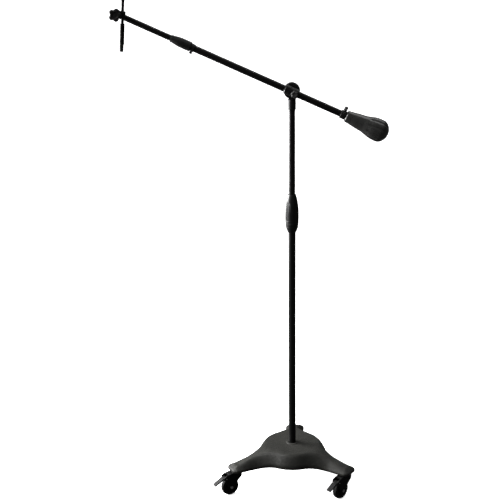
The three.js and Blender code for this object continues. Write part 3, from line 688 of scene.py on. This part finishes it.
def caster_tyre(radius):
    """A tread with rounded shoulders and a shallow groove round its middle."""
    half_profile = [
        (TYRE_BORE, TYRE_HALF), (radius - 5, TYRE_HALF), (radius - 1.6, TYRE_HALF - 1.8),
        (radius - 0.35, TYRE_HALF - 5), (radius, 1.6), (radius - 0.9, 0.8),
    ]
    profile = [(reach, -z) for reach, z in half_profile] + half_profile[::-1]
    rounded = soften(profile, 0.8, closed=True, steps=3)
    return moved(turned(rounded, 96, closed=True), turn=TO_Y)


def caster_pedal():
    """A lever hooked round its pin, with a grooved tread that falls to its tip."""
    heel = (PEDAL_X - 5.8, PEDAL_Z)
    crown = (PEDAL_X, PEDAL_Z + 5.8)
    outline = [
        *curve(heel, (PEDAL_X - 6, PEDAL_Z - 5), (PEDAL_X + 1, PEDAL_Z - 5.3)),
        (PEDAL_X + 12, PEDAL_Z - 6.8),
        (101, 54.4), *curve((101, 54.4), (104.6, 54), TREAD_TIP, 5),
        TREAD, *curve(TREAD, (PEDAL_X + 4, PEDAL_Z + 6), crown),
        *curve(crown, (PEDAL_X - 6, PEDAL_Z + 5), heel),
    ]
    body = moved(slab(outline, -PEDAL_HALF, PEDAL_HALF, 1.2, 3), turn=TO_FRONT)
    fall = math.atan2(TREAD_TIP[1] - TREAD[1], TREAD_TIP[0] - TREAD[0])
    grooves = []
    for k in range(TREAD_GROOVES):
        along = 6 + 5 * k
        x = TREAD[0] + along * math.cos(fall)
        z = TREAD[1] + 0.1 + along * math.sin(fall)
        grooves.append(moved(moved(bar(0.9, -8.5, 8.5, 0.4, 16), turn=TO_Y), x, 0, z))
    hole = moved(drill(PEDAL_PIN_BORE + 0.05, -20, 20, 24), PEDAL_X, 0, PEDAL_Z, TO_Y)
    return carve("pedal", body, cuts=[*grooves, hole])


def hex_bolt_head(across, low, high):
    corners = [(across * math.cos(TAU * k / 6), across * math.sin(TAU * k / 6)) for k in range(6)]
    outline = []
    for k in range(6):
        a, b = Vector(corners[k]), Vector(corners[(k + 1) % 6])
        outline += [tuple(a + (b - a) * t) for t in (0.06, 0.5, 0.94)]
    return slab(outline, low, high, 0.7, 3)


def caster_axle():
    """A bolt with a domed head on one cheek of the fork and a nut on the other."""
    cheek, head_radius, head_height = FORK_HALF + 0.3, 6.5, 3
    dome = [
        (0, -cheek - head_height), (4.5, -cheek - head_height + 0.1),
        (head_radius, -cheek - 1), (head_radius, -cheek), (0, -cheek),
    ]
    shank = bar(AXLE_RADIUS, -cheek - 1, cheek + head_height + 0.8, 0.6, 32)
    return carve("axle", shank, adds=[
        turned(soften(dome, 0.6), 48),
        hex_bolt_head(head_radius, cheek, cheek + head_height),
    ])


def make_casters():
    """One set of shapes, copied to the three casters."""
    where = caster_place("left")
    shift = span("caster_fork_left", where)[1][2] - FORK_TOP - FLANGE_GAP
    axle_z = sum(corner[2] for corner in span("caster_axle_left", where)) / 2
    fork = caster_fork(shift)
    hub = caster_hub()
    axle = caster_axle()
    axle.data.transform(TO_Y.to_4x4())
    pedal = caster_pedal()
    pedal.data.transform(Matrix.Translation((0, 0, shift)))
    tyre = as_object(caster_tyre(axle_z - 0.02), "tyre")
    for thing in (hub, axle, tyre):
        thing.data.transform(Matrix.Translation((WHEEL_TRAIL, 0, axle_z)))
    masters = {
        "caster_fork": fork, "caster_hub": hub, "caster_axle": axle, "brake_pedal": pedal,
        "caster_tyre": tyre,
    }
    for name in CASTERS:
        for kind, master in masters.items():
            copy = bpy.data.objects.new(kind, master.data.copy())
            bpy.context.scene.collection.objects.link(copy)
            piece = finish_piece(copy, caster_place(name), f"{kind}_{name}")
            piece.data.set_sharp_from_angle(angle=math.radians(40))
    for master in masters.values():
        bpy.data.objects.remove(master)


make_casters()


# ---------------------------------------------------------------------- mast

def make_tube(node, where, wall):
    low, high = span(node, where)
    outer = (high[1] - low[1]) / 2
    skin(tube(outer, outer - wall, low[2], high[2]), where, node)


for node, wall in (("lower_tube", 1.3), ("upper_tube", 1.5)):
    make_tube(node, MAST, wall)


def ribbed(count, depth, bore, low, high, fade=6.0):
    """Radius with count soft ribs between two heights, leaving the bore plain."""
    def shape(radius, angle, height):
        if radius <= bore:
            return radius
        mask = min(max((height - low) / fade, 0), 1) * min(max((high - height) / fade, 0), 1)
        return radius - depth * mask * (0.5 - 0.5 * math.cos(count * angle)) ** 0.7
    return shape


def spread(profile, step=1.5):
    """A profile with extra points so that no stretch is longer than step."""
    made = [profile[0]]
    for (r0, h0), (r1, h1) in zip(profile, profile[1:]):
        count = max(1, int(math.hypot(r1 - r0, h1 - h0) / step))
        made += [(r0 + (r1 - r0) * k / count, h0 + (h1 - h0) * k / count)
                 for k in range(1, count + 1)]
    return made


def make_clutch():
    low, high = span("clutch_body", MAST)
    foot, split, top = low[2], low[2] + 40, high[2]
    body = [
        (14.7, foot), (15.6, foot), (16.2, foot + 1.5), (17.6, foot + 4), (21.6, foot + 14),
        (24.2, foot + 22), (24.0, foot + 23), (24.0, foot + 24.5), (24.8, foot + 25.5),
        (25.4, foot + 31), (26, split - 1.2), (25, split), (19, split), (19, top), (14.7, top),
    ]
    rounded = soften(body, 0.7, closed=True, steps=3)
    skin(turned(rounded, 96, closed=True), MAST, "clutch_body")
    low, high = span("clutch_grip", MAST)
    foot, top = low[2], high[2]
    outside = [
        (19.4, foot), (25.4, foot), (26.2, foot + 1.2), (26.5, foot + 10), (26.7, foot + 20),
        (26.6, foot + 40), (25.8, foot + 58), (24.6, foot + 70), (22.4, foot + 84),
        (19.6, foot + 98), (17, foot + 107), (15.4, top - 1), (14.6, top),
    ]
    inside = [(13.4, top), (13.4, foot + 70), (19.4, foot + 38)]
    profile = spread(soften(outside, 2.5, steps=5)) + inside
    ribs = ribbed(32, depth=1.1, bore=19.5, low=foot + 5, high=foot + 88)
    grip = turned(profile, 192, closed=True, shape=ribs)
    skin(grip, MAST, "clutch_grip", sharp=60)


make_clutch()


# ----------------------------------------------------------------- boom head

HEAD_DISC = 31
STUD_BORE = 5.3


def make_head():
    foot = span("head_bracket", HEAD)[0][2]
    top = foot + 41
    front, back = 2.3, 14
    socket = turned(soften([
        (0, foot), (14.6, foot), (15.5, foot + 2), (15.5, top - 1.5), (13.5, top), (0, top),
    ], 0.8), 64)
    disc = moved(turned(soften([
        (0, front), (HEAD_DISC - 1.5, front), (HEAD_DISC, front + 1.2), (HEAD_DISC, back - 2.2),
        (HEAD_DISC - 2.2, back), (17, back), (16, back - 0.8), (0, back - 0.8),
    ], 0.8), 96), turn=TO_Y)
    neck = block((-12.5, front, top - 14), (12.5, back, -8), 1.5)
    tube_radius = span("upper_tube", MAST)[1][0]
    piece = carve("head", socket, adds=[neck, disc], cuts=[
        drill(tube_radius + 0.25, foot - 2, foot + 18, 64),
        drill(8.2, foot, foot + 37, 64),
        moved(drill(STUD_BORE, -2, 20, 40), turn=TO_Y),
    ])
    finish_piece(cast(piece, 0.5, 4), HEAD, "head_bracket")


make_head()


def lobes(count, depth, inner):
    """Radius with rounded finger lobes outside the inner radius."""
    def shape(radius, angle, _height):
        share = min(max((radius - inner) / 4, 0), 1)
        return radius - share * depth * (0.5 - 0.5 * math.cos(count * angle)) ** 1.4
    return shape


def make_pivot_knob():
    low, high = span("pivot_knob", HEAD_BACK)
    front, back = low[2], high[2]
    profile = [
        (5.3, front), (12, front), (13, front + 1), (13, front + 6.5), (15, front + 7.5),
        (22.5, front + 7.5), (24, front + 9.5), (24, back - 3), (21.5, back - 0.6), (19, back),
        (13, back - 0.6), (11.5, back - 2), (0, back - 2), (0, front + 21.5), (5.3, front + 21.5),
    ]
    body = spread(soften(profile[:13], 1.2, steps=4), 2) + profile[13:]
    knob = turned(body, 180, closed=True, shape=lobes(5, depth=5.5, inner=14))
    skin(knob, HEAD_BACK, "pivot_knob", sharp=55)


make_pivot_knob()


LOCK_X = 14


def make_boom_clamp():
    half, radius, groove = 28, 18.5, 17.6
    back = -boom_origin.y / MM + pivot.y / MM + 1.7
    housing = moved(turned(soften([
        (0, -half), (16, -half), (radius, -half + 2.5), (radius, -7.5), (groove, -6.5),
        (groove, 6.5), (radius, 7.5), (radius, half - 2.5), (16, half), (0, half),
    ], 1.0), 80), turn=TO_X)
    plate = moved(turned(soften([
        (0, back - 12.5), (HEAD_DISC - 2, back - 12.5), (HEAD_DISC, back - 10.5),
        (HEAD_DISC, back - 1), (HEAD_DISC - 1, back), (0, back),
    ], 0.9), 96), turn=TO_Y)
    boss = moved(bar(10, -2, radius + 1.4, 1.0, 48), LOCK_X, 0, 0, TO_FRONT)
    piece = carve("clamp", housing, adds=[plate, boss], cuts=[
        moved(drill(12.95, -half - 4, half + 4, 64), turn=TO_X),
        moved(drill(4.3, 0, 40), LOCK_X, 0, 0, TO_FRONT),
        block((-half - 4, -40, -0.9), (half + 4, -8, 0.9), 0.3),
    ])
    finish_piece(cast(piece, 0.5, 4), BOOM, "boom_clamp")


make_boom_clamp()


def knurled(count, depth, low, high):
    """Radius with sharp flutes between two heights."""
    def shape(radius, angle, height):
        inside = low <= height <= high and radius > 4
        return radius - (depth * abs(math.sin(count * angle / 2)) if inside else 0)
    return shape


def make_lock_knob():
    where = place(boom_origin, boom_rear, (0, -1, 0))
    low, high = span("boom_lock_knob", where)
    tip, face = low[2], high[2]
    back = face - 15
    profile = [
        (0, tip), (3.4, tip), (4, tip + 0.6), (4, back), (9.5, back), (10.5, back + 1.2),
        (12.2, back + 2.4), (13, back + 4), (13, face - 3), (11.4, face - 0.7), (9.5, face),
        (6, face - 0.5), (5, face - 1.6), (0, face - 1.6),
    ]
    rounded = spread(soften(profile, 0.8), 1.5)
    knob = turned(rounded, 144, shape=lobes(6, depth=2.6, inner=8.5))
    skin(moved(knob, LOCK_X, 0, 0), where, "boom_lock_knob", sharp=55)


make_lock_knob()


# ---------------------------------------------------------------------- boom

for node, wall in (("boom_outer_tube", 1.2), ("boom_inner_tube", 1.3)):
    make_tube(node, BOOM_AXIS, wall)


def make_collar():
    low, high = span("boom_collar", BOOM_AXIS)
    front, rear = low[2], high[2]
    step, shoulder = rear - 55, rear - 15
    outside = [
        (11.4, front), (12.4, front), (13, front + 1), (13.9, front + 6), (14.2, front + 7.2),
        (13.8, front + 8), (15.2, front + 16), (17.6, step - 12), (18.4, step),
        (18.4, shoulder - 2), (17.2, shoulder), (15.2, shoulder), (15.2, rear - 1),
        (14.4, rear), (12.95, rear),
    ]
    inside = [(12.95, step - 1), (11.4, step - 1)]
    profile = spread(soften(outside, 1.2)) + inside
    ribs = ribbed(24, depth=0.7, bore=13, low=front + 14, high=shoulder - 3, fade=5)
    collar = turned(profile, 144, closed=True, shape=ribs)
    skin(collar, BOOM_AXIS, "boom_collar", sharp=50)


make_collar()


def thumb_screw(node, joint, count):
    """A shank and a fluted head: a deep head when it is wide, else a shallow one."""
    where = place(JOINTS[joint]["pos_m"], boom_rear, JOINTS[joint]["axis"])
    low, high = span(node, where)
    tip, face, radius = low[2], high[2], high[0]
    seat = face - (16 if radius > 6.5 else 9)
    profile = [
        (0, tip), (2.6, tip), (3, tip + 0.5), (3, seat), (radius - 1.6, seat),
        (radius - 0.8, seat + 1), (radius, seat + 2), (radius, face - 1.6),
        (radius - 1.2, face - 0.3), (radius - 2.4, face), (radius - 3.2, face - 0.5),
        (0, face - 0.5),
    ]
    flutes = knurled(count, depth=0.7, low=seat + 2, high=face - 1.8)
    skin(turned(spread(soften(profile, 0.5), 1.2), 120, shape=flutes), where, node, sharp=40)


thumb_screw("boom_collar_screw", "collar_screw_turn", 20)
thumb_screw("counterweight_screw", "counterweight_screw_turn", 22)


# ------------------------------------------------------------- counterweight

FLUTES = 10
FLUTE_DEPTH = 3.4
FLUTE_START, FLUTE_END = 84, 166
WEIGHT_BORE = 13.3


def fluted(front, bore):
    """Radius with finger flutes along the thick end of the weight."""
    def shape(radius, angle, height):
        if radius <= bore:
            return radius
        along = height - front
        mask = min(max((along - FLUTE_START) / 16, 0), 1)
        mask *= min(max((FLUTE_END - along) / 14, 0), 1)
        mask = mask * mask * (3 - 2 * mask)
        wave = (0.5 + 0.5 * math.cos(FLUTES * angle)) ** 3
        return radius - FLUTE_DEPTH * mask * wave
    return shape


def make_weight():
    low, high = span("counterweight", BOOM_AXIS)
    front, end = low[2], high[2]
    outside = [
        (15.3, front), (19.4, front), (21, front + 1.4), (22.6, front + 4), (24.4, front + 21),
        (27.5, front + 38), (31.5, front + 72), (36, front + 90), (40.5, front + 104),
        (42.7, front + 116), (43.3, front + 128), (43.3, front + 142), (41.6, front + 149),
        (36, front + 158), (27, front + 166), (15, front + 172), (0, end),
    ]
    profile = spread(soften(outside, 6, steps=6), 2)
    inside = [
        (0, end - 16), (WEIGHT_BORE, end - 16), (WEIGHT_BORE, front + 24), (15.3, front + 24),
    ]
    flutes = fluted(front, WEIGHT_BORE + 0.1)
    weight = turned(profile + inside, 200, closed=True, shape=flutes)
    skin(weight, BOOM_AXIS, "counterweight", sharp=50)
    low, high = span("counterweight_collar", BOOM_AXIS)
    front, rear = low[2], high[2]
    collar = [
        (WEIGHT_BORE, front), (15.4, front), (16.5, front + 1.2), (16.5, front + 6),
        (15.9, front + 6.6), (15.9, front + 7.6), (16.5, front + 8.2), (16.5, front + 20.8),
        (15.6, front + 22), (15, front + 22), (15, rear), (WEIGHT_BORE, rear),
    ]
    rounded = soften(collar, 0.6, closed=True, steps=3)
    skin(turned(rounded, 96, closed=True), BOOM_AXIS, "counterweight_collar")


make_weight()


# ----------------------------------------------------------------- mini boom

TIP_DISC = 17
TONGUE_HALF = 6
TIP_BOLT_BORE = 4.3
ROD_RADIUS = 6
SLEEVE_RADIUS = 9.5


def make_tip_block():
    end = span("tip_block", BOOM_AXIS)[1][2]
    tip_x = (BOOM.inverted() @ tip_origin).x
    shoulder = end - 30
    spigot = turned(soften([
        (0, tip_x + 4), (10, tip_x + 7), (12, shoulder - 7), (12, shoulder), (9.5, shoulder),
        (9.5, end), (0, end),
    ], 0.8), 64)
    tongue = moved(bar(TIP_DISC, -TONGUE_HALF, TONGUE_HALF, 1.4, 72), tip_x, 0, 0, TO_Y)
    piece = carve("tip", moved(spigot, turn=TO_X), adds=[tongue], cuts=[
        block((tip_x - 30, TONGUE_HALF, -30), (tip_x + TIP_DISC + 0.6, 30, 30), 0.5),
        block((tip_x - 30, -30, -30), (tip_x + TIP_DISC + 0.6, -TONGUE_HALF, 30), 0.5),
        moved(drill(TIP_BOLT_BORE, -30, 30), tip_x, 0, 0, TO_Y),
    ])
    finish_piece(cast(piece, 0.45, 3), BOOM, "tip_block")


make_tip_block()


def make_tip_clamp():
    low, high = span("tip_clamp", TIP)
    front, back = low[1], high[1]
    jaw_back = front + 17
    plate = moved(bar(TIP_DISC, front, back, 1.2, 72), turn=TO_Y)
    jaw = block((-4, front, -14), (high[0], jaw_back, 14), 2.2)
    piece = carve("jaw", plate, adds=[jaw], cuts=[
        moved(drill(TIP_BOLT_BORE, front - 4, back + 4), turn=TO_Y),
        moved(drill(ROD_RADIUS + 0.3, -30, 30, 48), rod_x, rod_y, 0),
        block((rod_x, rod_y - 0.8, -30), (rod_x + 40, rod_y + 0.8, 30), 0.3),
    ])
    finish_piece(cast(piece, 0.45, 3), TIP, "tip_clamp")


make_tip_clamp()


def make_tip_knob():
    low, high = span("tip_knob", TIP_FRONT)
    back, face = low[2], high[2]
    profile = [
        (4.3, back), (9.5, back), (10.5, back + 0.8), (10.5, back + 2.6), (22.5, back + 2.6),
        (25, back + 4.8), (25, face - 3.4), (22.5, face - 0.8), (19.5, face), (11.5, face - 0.6),
        (10.5, face - 2), (0, face - 2), (0, face - 2.9), (4.3, face - 2.9),
    ]
    body = spread(soften(profile[:12], 1.3), 1.8) + profile[12:]
    knob = turned(body, 180, closed=True, shape=lobes(5, depth=5.6, inner=12.5))
    skin(knob, TIP_FRONT, "tip_knob", sharp=55)


make_tip_knob()


def make_mini_boom():
    low, high = span("mini_boom_rod", ROD)
    skin(bar(ROD_RADIUS, low[2], high[2], 0.6), ROD, "mini_boom_rod")
    low, high = span("mini_boom_cap", ROD)
    foot, top = low[2], high[2]
    cap = [(0, foot), (6.8, foot), (7.2, foot + 0.5), (7.2, top - 2), (5, top), (0, top)]
    skin(turned(soften(cap, 0.9), 64), ROD, "mini_boom_cap")
    low, high = span("mini_boom_sleeve", ROD)
    foot, top = low[2], high[2]
    outer, groove, bore, stud_bore = SLEEVE_RADIUS, SLEEVE_RADIUS - 0.5, ROD_RADIUS + 0.25, 5.3
    sleeve = [
        (stud_bore, foot), (outer - 0.6, foot), (outer, foot + 0.7), (outer, foot + 7),
        (groove, foot + 7.6), (groove, foot + 8.6), (outer, foot + 9.2), (outer, top - 10),
        (groove, top - 9.4), (groove, top - 8.4), (outer, top - 7.8), (outer, top - 2.4),
        (8, top), (bore, top), (bore, foot + 40), (stud_bore, foot + 40),
    ]
    rounded = soften(sleeve, 0.35, closed=True, steps=3)
    skin(turned(rounded, 80, closed=True), ROD, "mini_boom_sleeve")


make_mini_boom()


def make_thread():
    """The 5/8 in stud with its 27 turns to the inch, cut as a real helix."""
    low, high = span("mini_boom_stud", ROD)
    foot, top = low[2], high[2]
    pitch = 25.4 / 27
    crest, root, segments, steps = 7.9, 7.25, 48, 4
    start, end = foot + 1.6, foot + 27
    turns = int((end - start) / pitch)
    vertices, rings = [], []

    def add_ring(radius, height, threaded=False):
        ring = []
        for k in range(segments):
            angle = TAU * k / segments
            reach = radius
            if threaded:
                phase = (height - start) / pitch - k / segments
                wave = abs(2 * (phase - math.floor(phase + 0.5)))
                fade = min((height - start) / (1.5 * pitch), (end - height) / (1.5 * pitch), 1)
                reach = crest - (crest - root) * wave * max(fade, 0)
            ring.append(len(vertices))
            vertices.append((reach * math.cos(angle), reach * math.sin(angle), height))
        rings.append(ring)

    for radius, height in ((6.4, foot), (6.9, foot + 0.2), (crest, foot + 1.4)):
        add_ring(radius, height)
    for row in range(turns * steps + 1):
        add_ring(crest, start + row * pitch / steps, threaded=True)
    for radius, height in ((crest, end + 0.1), (9.1, end + 0.4), (SLEEVE_RADIUS, end + 0.8),
                           (SLEEVE_RADIUS, end + 2.4), (9.2, end + 2.7), (5, end + 2.7), (5, top)):
        add_ring(radius, height)
    faces = []
    for a, b in zip(rings, rings[1:]):
        for k in range(segments):
            n = (k + 1) % segments
            faces.append((a[k], a[n], b[n], b[k]))
    faces += [tuple(reversed(rings[0])), tuple(rings[-1])]
    bm = mesh_from(vertices, faces)
    bmesh.ops.triangulate(bm, faces=[f for f in bm.faces if len(f.verts) > 4])
    skin(bm, ROD, "mini_boom_stud", sharp=70)


make_thread()


# ------------------------------------------------------- carried-over pieces

def carry_over():
    """Hidden and plain pieces keep their CAD shape and get their finish."""
    for node, thing in frame["nodes"].items():
        if thing.hide_render:
            continue
        thing.data.materials.clear()
        thing.data.materials.append(MATERIALS[SLOT_OF[node]])


carry_over()


# --------------------------------------------------------- floor and lights

def stage_only(thing):
    """Shown behind and under the stand, without lighting it."""
    thing.visible_diffuse = False
    thing.visible_glossy = False
    thing.visible_transmission = False


FLOOR_RADIUS = 90
FLOOR_GLOW = 0.85
DOME_RADIUS = 88
DOME_GLOW = 1.2
WORLD_GLOW = 0.08


def make_floor():
    bpy.ops.mesh.primitive_circle_add(vertices=96, radius=FLOOR_RADIUS, fill_type="NGON")
    floor = bpy.context.object
    floor.name = "floor"
    material = bpy.data.materials.new("floor_white")
    material.use_nodes = True
    tree = material.node_tree
    shader = tree.nodes["Principled BSDF"]
    shader.inputs["Roughness"].default_value = 0.9
    shader.inputs["Specular IOR Level"].default_value = 0.1
    shader.inputs["Emission Color"].default_value = (1, 1, 1, 1)
    shader.inputs["Emission Strength"].default_value = FLOOR_GLOW
    tint = blend_colours(tree, noise(tree, scale=3), grey(0.87), grey(0.89))
    tree.links.new(tint, shader.inputs["Base Color"])
    floor.data.materials.append(material)
    stage_only(floor)


def make_backdrop():
    bpy.ops.mesh.primitive_uv_sphere_add(segments=48, ring_count=24, radius=DOME_RADIUS)
    dome = bpy.context.object
    dome.name = "backdrop"
    dome.visible_shadow = False
    material = bpy.data.materials.new("backdrop_white")
    material.use_nodes = True
    tree = material.node_tree
    tree.nodes.clear()
    glow = add_node(tree, "ShaderNodeEmission", Color=(1, 1, 1, 1), Strength=DOME_GLOW)
    output = tree.nodes.new("ShaderNodeOutputMaterial")
    tree.links.new(glow.outputs[0], output.inputs["Surface"])
    dome.data.materials.append(material)
    stage_only(dome)


make_floor()
make_backdrop()


def aimed(name, kind, position, target):
    data = bpy.data.lights.new(name, kind)
    lamp = bpy.data.objects.new(name, data)
    bpy.context.scene.collection.objects.link(lamp)
    lamp.location = position
    aim = Vector(target) - Vector(position)
    lamp.rotation_euler = aim.to_track_quat("-Z", "Y").to_euler()
    return data


def sun_light(name, position, strength, softness):
    data = aimed(name, "SUN", position, (0, 0, 0))
    data.energy = strength
    data.angle = math.radians(softness)


def area_light(name, position, target, size, watts):
    data = aimed(name, "AREA", position, target)
    data.shape = "DISK"
    data.size = size
    data.energy = watts


CENTRE = (0.1, 0.0, 1.0)
sun_light("key", position=(-3.2, -1.3, 2.9), strength=3.3, softness=20)
sun_light("top", position=(1.2, 1.4, 3.4), strength=0.8, softness=40)
area_light("left_box", position=(-2.8, 0.7, 1.5), target=CENTRE, size=1.8, watts=480)

world = bpy.data.worlds.new("studio")
world.use_nodes = True
sky = world.node_tree.nodes["Background"]
sky.inputs["Color"].default_value = (1, 1, 1, 1)
sky.inputs["Strength"].default_value = WORLD_GLOW
bpy.context.scene.world = world
bpy.context.scene.view_settings.view_transform = "Standard"


# -------------------------------------------------------------------- camera

CAMERA_AZIMUTH = math.radians(2.5)
CAMERA_DISTANCE = 4.5
CAMERA_HEIGHT = 2.381
CAMERA_PITCH = math.radians(17.0)
CAMERA_PAN = math.radians(2.1165)
CAMERA_ROLL = math.radians(-0.70)
CAMERA_LENS = 85.6


def make_camera():
    """A level-headed studio view from a little above, aimed left of the mast."""
    data = bpy.data.cameras.new("camera")
    data.lens = CAMERA_LENS
    data.sensor_width = 36
    data.clip_end = 500
    camera = bpy.data.objects.new("camera", data)
    bpy.context.scene.collection.objects.link(camera)
    camera.location = mast_foot + Vector((
        CAMERA_DISTANCE * math.sin(CAMERA_AZIMUTH),
        -CAMERA_DISTANCE * math.cos(CAMERA_AZIMUTH),
        CAMERA_HEIGHT,
    ))
    heading = CAMERA_AZIMUTH + CAMERA_PAN
    forward = Vector((
        -math.sin(heading) * math.cos(CAMERA_PITCH),
        math.cos(heading) * math.cos(CAMERA_PITCH),
        -math.sin(CAMERA_PITCH),
    ))
    level = Vector((math.cos(heading), math.sin(heading), 0))
    upward = level.cross(forward)
    right = level * math.cos(CAMERA_ROLL) + upward * math.sin(CAMERA_ROLL)
    top = upward * math.cos(CAMERA_ROLL) - level * math.sin(CAMERA_ROLL)
    camera.rotation_euler = Matrix((right, top, -forward)).transposed().to_euler()
    bpy.context.scene.camera = camera


make_camera()
